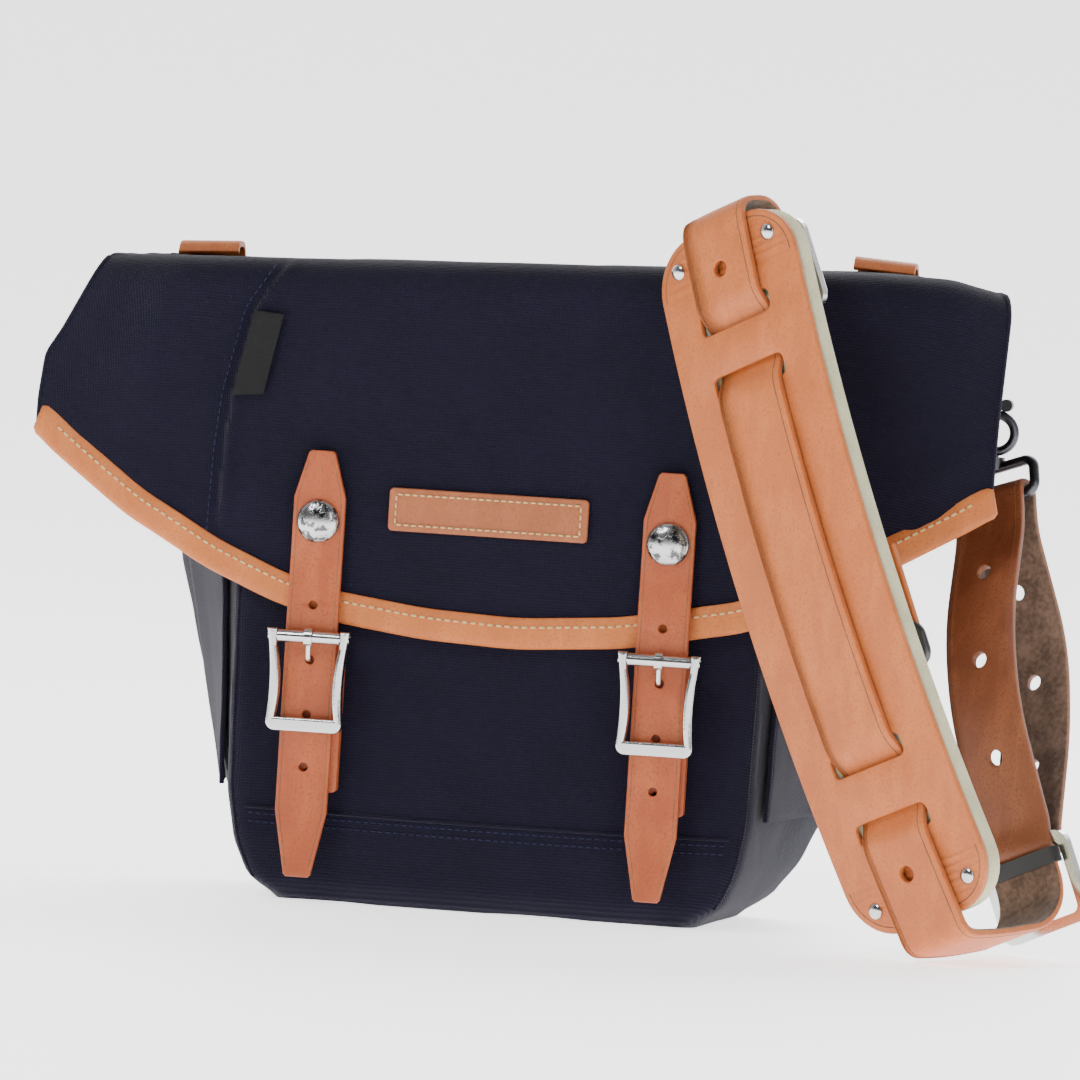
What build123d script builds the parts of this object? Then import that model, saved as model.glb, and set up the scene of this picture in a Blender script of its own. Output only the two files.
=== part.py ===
"""Messenger bag with a buckled flap and a padded shoulder strap.

Millimetres, +Z up, front towards -Y. The origin is the middle of the base, on the surface it stands on.
"""

import os

from build123d import *

# Canvas body
bag_height = 236
bag_front = 49
bag_back = 48
wall = 2.2
# Half-widths of the body at the front and back, and how far each face has come out, at five heights.
body_sections = [
    (0, 76, 82, 44, 43),
    (10, 90, 97, 48, 47),
    (40, 100, 118, bag_front, bag_back),
    (125, 102, 144, bag_front, bag_back),
    (bag_height, 104, 154, bag_front, bag_back),
]
corner_radius = 13

# Flap
flap_left = -184
flap_right = 189
flap_top = 250
flap_sheet = 2
flap_front = 53
hinge_y = 52
trim_width = 11
trim_front = 54.6
trim_back = 49.5
trim_line = [(-184, 186), (-142, 155), (-110, 137), (-84, 125), (-63, 120), (-28, 115), (8, 114)]
trim_line += [(48, 117), (93, 126), (148, 153), (189, 176)]
tag_corners = [(-99.9, 224.7), (-88.3, 223.9), (-94.5, 193.0), (-106.8, 191.9)]
patch_middle = (-5, 152.4)
patch_size = (77, 16.5)

# Front straps and their buckles
front_strap_x = {"left": -70, "right": 65}
strap_width = 20
strap_back = 55.2
strap_front = 58.0
strap_top = 173
strap_bottom = 10
strap_holes = [114, 93, 72, 52]
hole_radius = 1.65
snap_z = 146
snap_radius = 8.25
post_radius = 1.5
pin_y = 61.9
pin_z = 101.8
pin_radius = 1.6
bar_radius = 2.4
frame_depth = 4
chape_bottom = 42

# Shoulder strap and pad
pad_middle = (130.9, -100, 141.8)
pad_across = (0.786, -0.484, 0.384)
pad_normal = (-0.498, -0.870, -0.077)
pad_length = 274
pad_width = 67
leather = 2.5
foam = 8
band_width = 30
band = 3
slot_heights = [102, 77, -72, -99]
rivet_across = 22.5
rivet_along = 126
lower_buckle_at = (-64, -110)
upper_buckle_at = (-20, 106)
strand_across = (0.862, -0.399, 0.312)
strand_normal = (-0.484, -0.830, 0.275)
fold_height = 135
ring_wire = 1.8
hook_centre = 14
hook_radius = 7
anchor_z = 198
anchor_reach = {"left": 151, "right": 155.4}


def save(part, label):
    part.label = label
    export_step(part, f"parts/{label}.step")


def body_loft(inset, low, high):
    """Solid of the body's outline, moved inwards by inset, between two heights."""
    with BuildPart() as made:
        for height, front, back, out_front, out_back in body_sections:
            with BuildSketch(Plane.XY.offset(height)) as section:
                with BuildLine():
                    Polyline(
                        (-front + inset, -out_front + inset),
                        (front - inset, -out_front + inset),
                        (back - inset, out_back - inset),
                        (-back + inset, out_back - inset),
                        close=True,
                    )
                make_face()
                fillet(section.vertices(), corner_radius)
        loft(ruled=True)
        with Locations((0, 0, (low + high) / 2)):
            Box(600, 300, high - low, mode=Mode.INTERSECT)
    return made.part


def ribbon(plane, width, *lines):
    """Strap of one thickness along lines drawn in plane, as wide as width."""
    with BuildPart() as made:
        with BuildSketch(plane):
            with BuildLine() as path:
                for line in lines:
                    add(line)
            trace(path.line, band)
        extrude(amount=width / 2, both=True)
    return made.part


os.makedirs("parts", exist_ok=True)

# Body: an open canvas shell, with a stiff board in its bottom and a binding round its mouth.
outer = body_loft(0, 0, bag_height)
with BuildPart() as body_shell:
    add(outer)
    add(body_loft(wall, wall, bag_height + 1), mode=Mode.SUBTRACT)
save(body_shell.part, "body_shell")

with BuildPart() as base_board:
    with BuildSketch(Plane.XY.offset(wall + 0.6)):
        RectangleRounded(142, 66, 10)
    extrude(amount=2)
save(base_board.part, "base_board")

with BuildPart() as mouth_binding:
    add(body_loft(wall, bag_height - 14, bag_height))
    add(body_loft(wall + 1.4, bag_height - 15, bag_height + 1), mode=Mode.SUBTRACT)
save(mouth_binding.part, "mouth_binding")

with BuildPart() as back_yoke:
    with BuildSketch(Plane.XZ.offset(-bag_back - 1.6)):
        with Locations((0, 217)):
            RectangleRounded(272, 36, 5)
    extrude(amount=1.6)
save(back_yoke.part, "back_yoke")

# Flat pockets on the side gussets, between two shells just outside the body.
pocket_skin = body_loft(-2.4, 42, 150)
for side, sign in (("left", -1), ("right", 1)):
    with BuildPart() as gusset_pocket:
        add(pocket_skin)
        add(outer, mode=Mode.SUBTRACT)
        with Locations((sign * 120, -6, 100)):
            Box(80, 60, 120, mode=Mode.INTERSECT)
    save(gusset_pocket.part, f"gusset_pocket_{side}")

# Flap: one bent sheet, cut to its long curved edge.
with BuildPart() as flap_panel:
    with BuildSketch(Plane.YZ.offset(flap_left)):
        with BuildLine() as flap_bend:
            FilletPolyline(
                (hinge_y - 2, 239),
                (hinge_y - 4, flap_top),
                (-flap_front + 9, flap_top),
                (-flap_front + 1, flap_top - 12),
                (-flap_front + 1, 100),
                radius=5,
            )
        trace(flap_bend.line, flap_sheet)
    extrude(amount=flap_right - flap_left)
    with BuildSketch(Plane.XZ.offset(-100)):
        with BuildLine():
            Spline([(x, z - trim_width + 1) for x, z in trim_line])
            Line((flap_right, 166), (flap_right, 260))
            Line((flap_right, 260), (-158, 260))
            Line((-158, 260), (flap_left, 200))
            Line((flap_left, 200), (flap_left, 176))
        make_face()
    extrude(amount=200, mode=Mode.INTERSECT)
    with BuildSketch(Plane.XZ.offset(bag_front)):
        with Locations([(x, snap_z) for x in front_strap_x.values()]):
            Circle(post_radius + 0.2)
    extrude(amount=10, mode=Mode.SUBTRACT)
save(flap_panel.part, "flap_panel")

with BuildPart() as flap_trim:
    with BuildSketch(Plane.XZ.offset(trim_back)):
        with BuildLine():
            Spline(trim_line)
            Line(trim_line[-1], (flap_right, 176 - trim_width))
            Spline([(x, z - trim_width) for x, z in trim_line])
            Line((flap_left, 186 - trim_width), trim_line[0])
        make_face()
    extrude(amount=trim_front - trim_back)
    add(flap_panel.part, mode=Mode.SUBTRACT)
save(flap_trim.part, "flap_trim")

# Front straps, buckles and snaps, one set each side.
for side, x in front_strap_x.items():
    with BuildPart() as front_strap:
        with BuildSketch(Plane.XZ.offset(strap_back)):
            with BuildLine():
                Polyline(
                    (x - 5.2, strap_bottom),
                    (x + 5.2, strap_bottom),
                    (x + strap_width / 2, strap_bottom + 25),
                    (x + strap_width / 2, strap_top - 18),
                    (x + 5.2, strap_top),
                    (x - 5.2, strap_top),
                    (x - strap_width / 2, strap_top - 18),
                    (x - strap_width / 2, strap_bottom + 25),
                    close=True,
                )
            make_face()
            with Locations([(x, z) for z in strap_holes]):
                Circle(hole_radius, mode=Mode.SUBTRACT)
            with Locations((x, snap_z)):
                Circle(post_radius + 0.2, mode=Mode.SUBTRACT)
        extrude(amount=strap_front - strap_back)
    save(front_strap.part, f"front_strap_{side}")

    # Snap: a domed cap whose post goes through strap and flap to a flat stud behind.
    with BuildPart() as snap_cap:
        with BuildSketch(Plane.XZ.offset(strap_front)):
            with Locations((x, snap_z)):
                Circle(snap_radius)
        extrude(amount=3.4)
        fillet(snap_cap.faces().sort_by(Axis.Y)[0].edges(), 3.2)
        with BuildSketch(Plane.XZ.offset(flap_front - flap_sheet - 0.1)):
            with Locations((x, snap_z)):
                Circle(post_radius)
        extrude(amount=strap_front - flap_front + flap_sheet + 0.1)
    save(snap_cap.part, f"snap_cap_{side}")

    with BuildPart() as snap_stud:
        with BuildSketch(Plane.XZ.offset(bag_front + 0.5)):
            with Locations((x, snap_z)):
                Circle(6)
        extrude(amount=1.2)
    save(snap_stud.part, f"snap_stud_{side}")

    # Chape: doubled leather behind the strap, with two narrow ears round the buckle's pin.
    with BuildPart() as chape:
        with BuildSketch(Plane.XZ.offset(bag_front)):
            with Locations((x, (chape_bottom + 104) / 2)):
                RectangleRounded(strap_width + 4, 104 - chape_bottom, 2)
            with Locations((x, chape_bottom + 8)):
                Circle(hole_radius, mode=Mode.SUBTRACT)
        extrude(amount=strap_back - 0.3 - bag_front)
        for ear in (-1, 1):
            with BuildSketch(Plane.YZ.offset(x + ear * 11 - 0.8)):
                with Locations((-pin_y, pin_z)):
                    Circle(bar_radius + 1.4)
                with Locations((-57.4, pin_z - 1)):
                    Rectangle(6.4, 4)
                with Locations((-pin_y, pin_z)):
                    Circle(bar_radius + 0.05, mode=Mode.SUBTRACT)
            extrude(amount=1.6)
    save(chape.part, f"chape_{side}")

    # Buckle: a waisted frame with lugs on a stepped pin, and a prong round the pin.
    with BuildPart() as buckle_pin:
        with BuildSketch(Plane.YZ.offset(x - 15.6)):
            with Locations((-pin_y, pin_z)):
                Circle(pin_radius)
        extrude(amount=31.2)
        with BuildSketch(Plane.YZ.offset(x - 11.9)):
            with Locations((-pin_y, pin_z)):
                Circle(bar_radius)
        extrude(amount=23.8)
    save(buckle_pin.part, f"buckle_pin_{side}")

    with BuildPart() as buckle_frame:
        with BuildSketch(Plane.XZ.offset(pin_y - frame_depth / 2)):
            with BuildLine():
                Line((x - 16, 104.6), (x - 12.1, 104.6))
                Line((x - 12.1, 104.6), (x - 12.1, 98))
                ThreePointArc((x - 12.1, 98), (x - 10.4, 84), (x - 11.4, 71))
                Line((x - 11.4, 71), (x + 11.4, 71))
                ThreePointArc((x + 11.4, 71), (x + 10.4, 84), (x + 12.1, 98))
                Line((x + 12.1, 98), (x + 12.1, 104.6))
                Line((x + 12.1, 104.6), (x + 16, 104.6))
                ThreePointArc((x + 16, 104.6), (x + 14, 85), (x + 15.2, 65.6))
                Line((x + 15.2, 65.6), (x - 15.2, 65.6))
                ThreePointArc((x - 15.2, 65.6), (x - 14, 85), (x - 16, 104.6))
            make_face()
        extrude(amount=frame_depth)
        fillet(buckle_frame.edges().filter_by(Axis.Y).sort_by(Axis.Z)[:2], 3.5)
        fillet(buckle_frame.faces().sort_by(Axis.Y)[0].edges(), 1.1)
        with BuildSketch(Plane.YZ.offset(x - 20)):
            with Locations((-pin_y, pin_z)):
                Circle(pin_radius + 0.06)
        extrude(amount=40, mode=Mode.SUBTRACT)
    save(buckle_frame.part, f"buckle_frame_{side}")

    with BuildPart() as prong:
        with BuildSketch(Plane.YZ.offset(x - 1.5)):
            with Locations((-pin_y, pin_z)):
                Circle(bar_radius + 1.2)
                Circle(bar_radius + 0.06, mode=Mode.SUBTRACT)
        extrude(amount=3)
        with BuildLine() as prong_path:
            FilletPolyline(
                (x, -pin_y, pin_z - bar_radius - 0.7),
                (x, -pin_y + 0.7, 93.3),
                (x, -strap_front + 0.8, 93.3),
                radius=1.4,
            )
        with BuildSketch(Plane(origin=prong_path.line @ 0, z_dir=prong_path.line % 0)):
            Circle(1)
        sweep(path=prong_path.line)
    save(prong.part, f"prong_{side}")

# Patch, woven tag and the two leather loops along the flap's rear edge.
with BuildPart() as patch:
    with BuildSketch(Plane.XZ.offset(flap_front)):
        with Locations(patch_middle):
            RectangleRounded(*patch_size, 1.8)
    extrude(amount=2.2)
    fillet(patch.faces().sort_by(Axis.Y)[0].edges(), 0.8)
save(patch.part, "patch")

with BuildPart() as woven_tag:
    with BuildSketch(Plane.XZ.offset(flap_front)):
        with BuildLine():
            Polyline(tag_corners, close=True)
        make_face()
    extrude(amount=0.9)
save(woven_tag.part, "woven_tag")

for side, x in (("left", -132), ("right", 132)):
    with BuildPart() as flap_loop:
        with BuildSketch(Plane.YZ.offset(x - 12)):
            with Locations((38, flap_top + flap_sheet / 2 + 3)):
                RectangleRounded(7, 6, 1.4)
        extrude(amount=24)
    save(flap_loop.part, f"flap_loop_{side}")

# Shoulder pad: a leather face with four strap slots over a foam back, held by four rivets.
pad_plane = Plane(origin=pad_middle, x_dir=pad_across, z_dir=pad_normal)
pad_side = Plane(origin=pad_middle, x_dir=pad_plane.z_dir, z_dir=-pad_plane.x_dir)
rivet_places = [(u, v) for u in (-rivet_across, rivet_across) for v in (-rivet_along, rivet_along)]

with BuildPart() as pad_leather:
    with BuildSketch(pad_plane.offset(-leather / 2)):
        RectangleRounded(pad_width, pad_length, 20)
        with Locations([(0, v) for v in slot_heights]):
            RectangleRounded(band_width + 4, 16, 3, mode=Mode.SUBTRACT)
        with Locations(rivet_places):
            Circle(1.6, mode=Mode.SUBTRACT)
    extrude(amount=leather)
save(pad_leather.part, "pad_leather")

with BuildPart() as pad_foam:
    with BuildSketch(pad_plane.offset(-leather / 2)):
        RectangleRounded(pad_width - 3, pad_length - 3, 18.5)
        with Locations(rivet_places):
            Circle(1.6, mode=Mode.SUBTRACT)
    extrude(amount=-foam)
    with BuildSketch(pad_plane.offset(-leather / 2)):
        for first, last in (slot_heights[:2], slot_heights[2:]):
            with Locations((0, (first + last) / 2)):
                Rectangle(band_width + 2, first - last + 16)
    extrude(amount=-band - 1, mode=Mode.SUBTRACT)
save(pad_foam.part, "pad_foam")

with BuildPart() as pad_rivets:
    with BuildSketch(pad_plane.offset(leather / 2)):
        with Locations(rivet_places):
            Circle(3.1)
    extrude(amount=1.2)
    with BuildSketch(pad_plane.offset(leather / 2)):
        with Locations(rivet_places):
            Circle(1.5)
    extrude(amount=-leather - foam - 0.6)
save(pad_rivets.part, "pad_rivets")

# Main strap: round the lower end, where it rests on the ground, through the pad's slots, and over its upper end.
with BuildLine() as main_path:
    FilletPolyline(
        (lower_buckle_at[0], lower_buckle_at[1] - 5),
        (lower_buckle_at[0], -137),
        (-49, -147.7),
        (-18, -147.7),
        (3.1, -145.7),
        (3.1, -103),
        (-3.1, -95),
        (-3.1, -76),
        (3.1, -68),
        (3.1, 73),
        (-3.1, 81),
        (-3.1, 98),
        (3.1, 106),
        (3.1, 142),
        (-20, 142),
        (upper_buckle_at[0], upper_buckle_at[1] + 2),
        radius=[12, 14, 25, 6, 3, 3, 3, 3, 3, 3, 3, 3, 5, 9],
    )
with BuildPart() as below_buckle:
    with BuildSketch(pad_side):
        with Locations((lower_buckle_at[0] / 2, lower_buckle_at[1] - 5)):
            Rectangle(200, 100, align=(Align.CENTER, Align.MAX))
    extrude(amount=band_width, both=True)
whole_strap = ribbon(pad_side, band_width, main_path.line)
save(whole_strap - below_buckle.part, "main_strap")
save(whole_strap & below_buckle.part, "strap_foot")

# Tail strap: from the upper buckle down behind the pad, folded back round its own ring.
with BuildLine() as tail_path:
    FilletPolyline(
        (upper_buckle_at[0], upper_buckle_at[1] - 2),
        (-20, 60),
        (-16, 10),
        (-16, -33),
        (-25, -33),
        (-25, 4),
        radius=[80, 80, 4, 4],
    )
save(ribbon(pad_side, band_width, tail_path.line), "tail_strap")

# End strap: up from the lower buckle, round the side ring's bar and down again, two strands apart.
strand_foot = pad_side.from_local_coords(Vector(*lower_buckle_at, 0))
strand_plane = Plane(origin=strand_foot, x_dir=strand_across, z_dir=strand_normal)
strand_side = Plane(origin=strand_foot, x_dir=strand_plane.z_dir, z_dir=-strand_plane.x_dir)
with BuildLine() as end_path:
    FilletPolyline(
        (2.5, 2),
        (16, 45),
        (17, 80),
        (4.6, fold_height - 13),
        (4.6, fold_height + 5),
        (-4.6, fold_height + 5),
        (-4.6, fold_height - 13),
        (-22, 80),
        (-20, 45),
        (-3.5, 2),
        radius=[60, 60, 20, 4, 4, 20, 60, 60],
    )
save(ribbon(strand_side, band_width, end_path.line), "end_strap")

# Swivel ring in the end strap's fold, with the bored barrel that turns on the hook's post.
swivel = strand_side.from_local_coords(Vector(0, fold_height + 14, 0))
with BuildPart() as strap_ring:
    with BuildLine(strand_plane) as loop:
        FilletPolyline(
            (-18, fold_height + 0.8),
            (18, fold_height + 0.8),
            (18, fold_height + 14),
            (-18, fold_height + 14),
            close=True,
            radius=4,
        )
    with BuildSketch(Plane(origin=loop.line @ 0, z_dir=loop.line % 0)):
        Circle(2)
    sweep(path=loop.line)
    with BuildSketch(Plane(origin=swivel)):
        Circle(4)
    extrude(amount=4.8)
    with BuildSketch(Plane(origin=swivel + Vector(0, 0, 2.2))):
        Circle(post_radius + 0.06)
    extrude(amount=4, mode=Mode.SUBTRACT)
save(strap_ring.part, "strap_ring")

with BuildPart() as tail_ring:
    with BuildLine(pad_plane.offset(-20.5)) as loop:
        FilletPolyline((-18, -28.6), (18, -28.6), (18, -42), (-18, -42), close=True, radius=4)
    with BuildSketch(Plane(origin=loop.line @ 0, z_dir=loop.line % 0)):
        Circle(2)
    sweep(path=loop.line)
save(tail_ring.part, "tail_ring")


def hook(upright):
    """Closed snap hook standing on its post, in the XZ plane of upright."""
    with BuildPart() as made:
        with BuildSketch(upright.offset(2.6)):
            Circle(post_radius)
        extrude(amount=3.6)
        front = Plane(origin=upright.origin, x_dir=upright.x_dir, z_dir=-upright.y_dir)
        with BuildLine(front) as eye:
            CenterArc((0, hook_centre), hook_radius, 0, 360)
        with BuildSketch(Plane(origin=eye.line @ 0, z_dir=eye.line % 0)):
            Circle(ring_wire)
        sweep(path=eye.line)
    return made.part


def catch(upright):
    """Thumb catch on the upper side of a hook, resting on its wire."""
    front = Plane(origin=upright.origin, x_dir=upright.x_dir, z_dir=-upright.y_dir)
    with BuildPart() as made:
        with BuildSketch(front.offset(-3.5)):
            with Locations((3.4, hook_centre + 10.75)):
                Circle(2.4)
        extrude(amount=7)
    return made.part


side_post = Plane(origin=swivel)
save(hook(side_post), "side_hook")
save(catch(side_post), "side_hook_catch")
tail_post = Plane(
    origin=pad_plane.from_local_coords(Vector(0, -44, -20.5)),
    x_dir=pad_plane.x_dir,
    z_dir=-pad_plane.y_dir,
).offset(-2.4)
save(hook(tail_post), "tail_hook")
save(catch(tail_post), "tail_hook_catch")

# Strap buckles: a wide frame behind the strap with a bar and a prong, and a black keeper beside it.
strap_buckles = [
    ("lower", pad_plane.offset(lower_buckle_at[0] - band / 2 - 0.3), lower_buckle_at[1] - 21, 9),
    ("upper", pad_plane.offset(upper_buckle_at[0] - band / 2 - 0.3), upper_buckle_at[1] + 9, -9),
]
for label, plane, middle, keeper_step in strap_buckles:
    with BuildPart() as strap_buckle:
        with BuildSketch(plane):
            with Locations((0, middle)):
                RectangleRounded(42, 36, 6)
                RectangleRounded(34, 28, 3, mode=Mode.SUBTRACT)
        extrude(amount=-3.6)
        fillet(strap_buckle.faces().sort_by(Axis(plane.origin, pad_plane.z_dir))[0].edges(), 1)
    save(strap_buckle.part, f"{label}_buckle")

    with BuildPart() as keeper:
        middle_of_keeper = plane.origin + pad_plane.y_dir * (middle + keeper_step)
        with BuildSketch(Plane(origin=middle_of_keeper, x_dir=pad_plane.x_dir, z_dir=pad_plane.y_dir)):
            with Locations((0, -band / 2 - 0.3)):
                RectangleRounded(band_width + 2.8, band + 2.6, 1)
                Rectangle(band_width + 0.4, band + 0.4, mode=Mode.SUBTRACT)
        extrude(amount=3, both=True)
    save(keeper.part, f"{label}_keeper")

# Side anchors: a folded leather tab from the gusset, holding a ring, one each side.
for side, reach in anchor_reach.items():
    with BuildPart() as side_tab:
        with BuildSketch(Plane.XZ.offset(-swivel.Y - 7)):
            with BuildLine():
                Line((122, anchor_z - 3.5), (reach, anchor_z - 3.5))
                RadiusArc((reach, anchor_z - 3.5), (reach, anchor_z + 3.5), -3.5)
                Polyline((reach, anchor_z + 3.5), (122, anchor_z + 3.5), (122, anchor_z - 3.5))
            make_face()
            with Locations((reach, anchor_z)):
                Circle(ring_wire + 0.15, mode=Mode.SUBTRACT)
        extrude(amount=14)
        add(outer, mode=Mode.SUBTRACT)
        if side == "left":
            mirror(about=Plane.YZ, mode=Mode.REPLACE)
    save(side_tab.part, f"side_tab_{side}")

    with BuildPart() as side_ring:
        with BuildLine() as ring_path:
            FilletPolyline(
                (reach, swivel.Y - 12, anchor_z),
                (reach + 11, swivel.Y - 12, anchor_z),
                (reach + 27, swivel.Y, anchor_z),
                (reach + 11, swivel.Y + 12, anchor_z),
                (reach, swivel.Y + 12, anchor_z),
                close=True,
                radius=4,
            )
        with BuildSketch(Plane(origin=ring_path.line @ 0, z_dir=ring_path.line % 0)):
            Circle(ring_wire)
        sweep(path=ring_path.line)
        if side == "left":
            mirror(about=Plane.YZ, mode=Mode.REPLACE)
    save(side_ring.part, f"side_ring_{side}")
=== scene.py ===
"""Look of the messenger bag: canvas, leather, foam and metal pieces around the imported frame, in metres."""

import math

import bmesh
import bpy
import numpy as np
from mathutils import Matrix, Vector, noise


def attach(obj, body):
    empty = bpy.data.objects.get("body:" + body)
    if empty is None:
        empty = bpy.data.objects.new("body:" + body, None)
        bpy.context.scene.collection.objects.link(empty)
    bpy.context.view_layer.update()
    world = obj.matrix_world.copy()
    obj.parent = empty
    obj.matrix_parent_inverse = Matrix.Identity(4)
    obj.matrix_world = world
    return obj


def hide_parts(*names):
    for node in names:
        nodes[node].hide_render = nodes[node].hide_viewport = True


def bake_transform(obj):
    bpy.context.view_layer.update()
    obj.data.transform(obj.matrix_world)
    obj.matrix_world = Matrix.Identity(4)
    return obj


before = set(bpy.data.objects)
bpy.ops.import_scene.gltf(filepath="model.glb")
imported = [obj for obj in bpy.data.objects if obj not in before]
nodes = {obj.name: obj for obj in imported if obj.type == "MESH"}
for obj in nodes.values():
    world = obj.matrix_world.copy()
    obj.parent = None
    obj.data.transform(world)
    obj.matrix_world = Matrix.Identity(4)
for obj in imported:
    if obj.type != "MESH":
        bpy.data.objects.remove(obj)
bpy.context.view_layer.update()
scene = bpy.context.scene
MM = 0.001


# Camera and stage. The camera is rolled a little, so the bag leans clockwise in its view.
AIM = Vector((15.2, -53, 144.3)) * MM
AZIMUTH = math.radians(9)
ELEVATION = math.radians(2)
ROLL = math.radians(3.5)
DISTANCE = 3.078

camera = bpy.data.objects.new("camera", bpy.data.cameras.new("camera"))
scene.collection.objects.link(camera)
camera.data.lens = 270
camera.data.sensor_width = 36
towards = Vector((
    math.sin(AZIMUTH) * math.cos(ELEVATION),
    -math.cos(AZIMUTH) * math.cos(ELEVATION),
    math.sin(ELEVATION),
))
camera.location = AIM + towards * DISTANCE
camera.rotation_mode = "QUATERNION"
camera.rotation_quaternion = towards.to_track_quat("Z", "Y") @ Matrix.Rotation(ROLL, 3, "Z").to_quaternion()
scene.camera = camera


def area_light(name, place, power, size, colour=(1, 1, 1)):
    light = bpy.data.objects.new(name, bpy.data.lights.new(name, "AREA"))
    light.data.energy = power
    light.data.size = size
    light.data.color = colour
    light.location = place
    light.rotation_euler = (Vector(place) - Vector((0, 0, 0.12))).to_track_quat("Z", "Y").to_euler()
    scene.collection.objects.link(light)


area_light("key", (-0.8, -1.4, 1.6), 23, 0.7)
area_light("fill", (1.3, -1.5, 0.7), 7, 0.8)
area_light("rear", (0.3, 1.3, 1.5), 22, 1.2)
scene.world = bpy.data.worlds.new("studio")
scene.world.use_nodes = True
background = scene.world.node_tree.nodes["Background"]
background.inputs["Strength"].default_value = 0.86
world_nodes = scene.world.node_tree
direction = world_nodes.nodes.new("ShaderNodeTexCoord").outputs["Generated"]
split = world_nodes.nodes.new("ShaderNodeSeparateXYZ")
world_nodes.links.new(direction, split.inputs[0])
shade = world_nodes.nodes.new("ShaderNodeValToRGB")
shade.color_ramp.elements[0].position = 0.30
shade.color_ramp.elements[0].color = (0.10, 0.10, 0.105, 1)
shade.color_ramp.elements[1].position = 0.62
shade.color_ramp.elements[1].color = (1, 1, 1, 1)
lift = world_nodes.nodes.new("ShaderNodeMapRange")
lift.inputs["From Min"].default_value = -1.0
world_nodes.links.new(split.outputs["Y"], lift.inputs["Value"])
world_nodes.links.new(lift.outputs[0], shade.inputs["Fac"])
world_nodes.links.new(shade.outputs["Color"], background.inputs["Color"])


# Node materials
WARP = (1, 0.95, 0)
WEFT = (0, 0.8, 1)


# Waves that a wave texture lays in one unit at scale 1
WAVES_AT_ONE = 3.18


class Maker:
    """Short way to add nodes to one material."""

    def __init__(self, name, colour, roughness, **inputs):
        self.material = bpy.data.materials.new(name)
        self.material.use_nodes = True
        self.tree = self.material.node_tree
        self.shader = self.tree.nodes["Principled BSDF"]
        self.shader.inputs["Base Color"].default_value = (*colour, 1)
        self.shader.inputs["Roughness"].default_value = roughness
        for key, value in inputs.items():
            self.shader.inputs[key.replace("_", " ")].default_value = value
        self.place = self.tree.nodes.new("ShaderNodeTexCoord").outputs["Object"]

    def node(self, kind, **settings):
        made = self.tree.nodes.new(kind)
        for key, value in settings.items():
            if key in made.inputs:
                made.inputs[key].default_value = value
            else:
                setattr(made, key, value)
        return made

    def link(self, source, target):
        self.tree.links.new(source, target)

    def mapped(self, scale, turn=(0, 0, 0)):
        made = self.node("ShaderNodeMapping")
        made.inputs["Scale"].default_value = scale
        made.inputs["Rotation"].default_value = turn
        self.link(self.place, made.inputs["Vector"])
        return made.outputs[0]

    def noise(self, size, detail=3, stretch=(1, 1, 1)):
        """Noise whose grains are about size metres across."""
        made = self.node("ShaderNodeTexNoise", Scale=1.0, Detail=detail)
        self.link(self.mapped([s / size for s in stretch]), made.inputs["Vector"])
        return made.outputs["Fac"]

    def cells(self, size):
        made = self.node("ShaderNodeTexVoronoi", Scale=1.0)
        self.link(self.mapped([1 / size] * 3), made.inputs["Vector"])
        return made.outputs["Distance"]

    def bands(self, period, direction):
        """Threads running across direction, one each period metres."""
        along = self.node("ShaderNodeVectorMath", operation="DOT_PRODUCT")
        along.inputs[1].default_value = direction
        self.link(self.place, along.inputs[0])
        parts = self.node("ShaderNodeSeparateXYZ")
        self.link(self.place, parts.inputs[0])
        joined_up = self.node("ShaderNodeCombineXYZ")
        self.link(along.outputs["Value"], joined_up.inputs[0])
        self.link(parts.outputs[2], joined_up.inputs[1])
        self.link(parts.outputs[1], joined_up.inputs[2])
        made = self.node("ShaderNodeTexWave", Scale=1 / period / WAVES_AT_ONE, Distortion=1.1)
        made.inputs["Detail Scale"].default_value = 1.6
        self.link(joined_up.outputs[0], made.inputs["Vector"])
        return made.outputs["Fac"]

    def mix_colour(self, factor, first, second):
        made = self.tree.nodes.new("ShaderNodeMix")
        made.data_type = "RGBA"
        self.link(factor, made.inputs["Factor"])
        for socket, value in ((made.inputs[6], first), (made.inputs[7], second)):
            if isinstance(value, tuple):
                socket.default_value = (*value, 1)
            else:
                self.link(value, socket)
        return made.outputs[2]

    def ramp(self, factor, low, high):
        made = self.node("ShaderNodeMapRange")
        made.inputs["From Min"].default_value = low
        made.inputs["From Max"].default_value = high
        self.link(factor, made.inputs["Value"])
        return made.outputs[0]

    def math(self, operation, first, second):
        made = self.node("ShaderNodeMath", operation=operation)
        for socket, value in zip(made.inputs, (first, second)):
            if isinstance(value, (int, float)):
                socket.default_value = value
            else:
                self.link(value, socket)
        return made.outputs[0]

    def colour(self, source):
        self.link(source, self.shader.inputs["Base Color"])

    def roughness(self, source, low, high):
        made = self.node("ShaderNodeMapRange")
        made.inputs["To Min"].default_value = low
        made.inputs["To Max"].default_value = high
        self.link(source, made.inputs["Value"])
        self.link(made.outputs[0], self.shader.inputs["Roughness"])

    def bump(self, *layers):
        """Bump from (height, depth in metres) pairs."""
        normal = None
        for height, depth in layers:
            made = self.node("ShaderNodeBump", Strength=1.0, Distance=depth)
            self.link(height, made.inputs["Height"])
            if normal:
                self.link(normal, made.inputs["Normal"])
            normal = made.outputs[0]
        self.link(normal, self.shader.inputs["Normal"])


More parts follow.
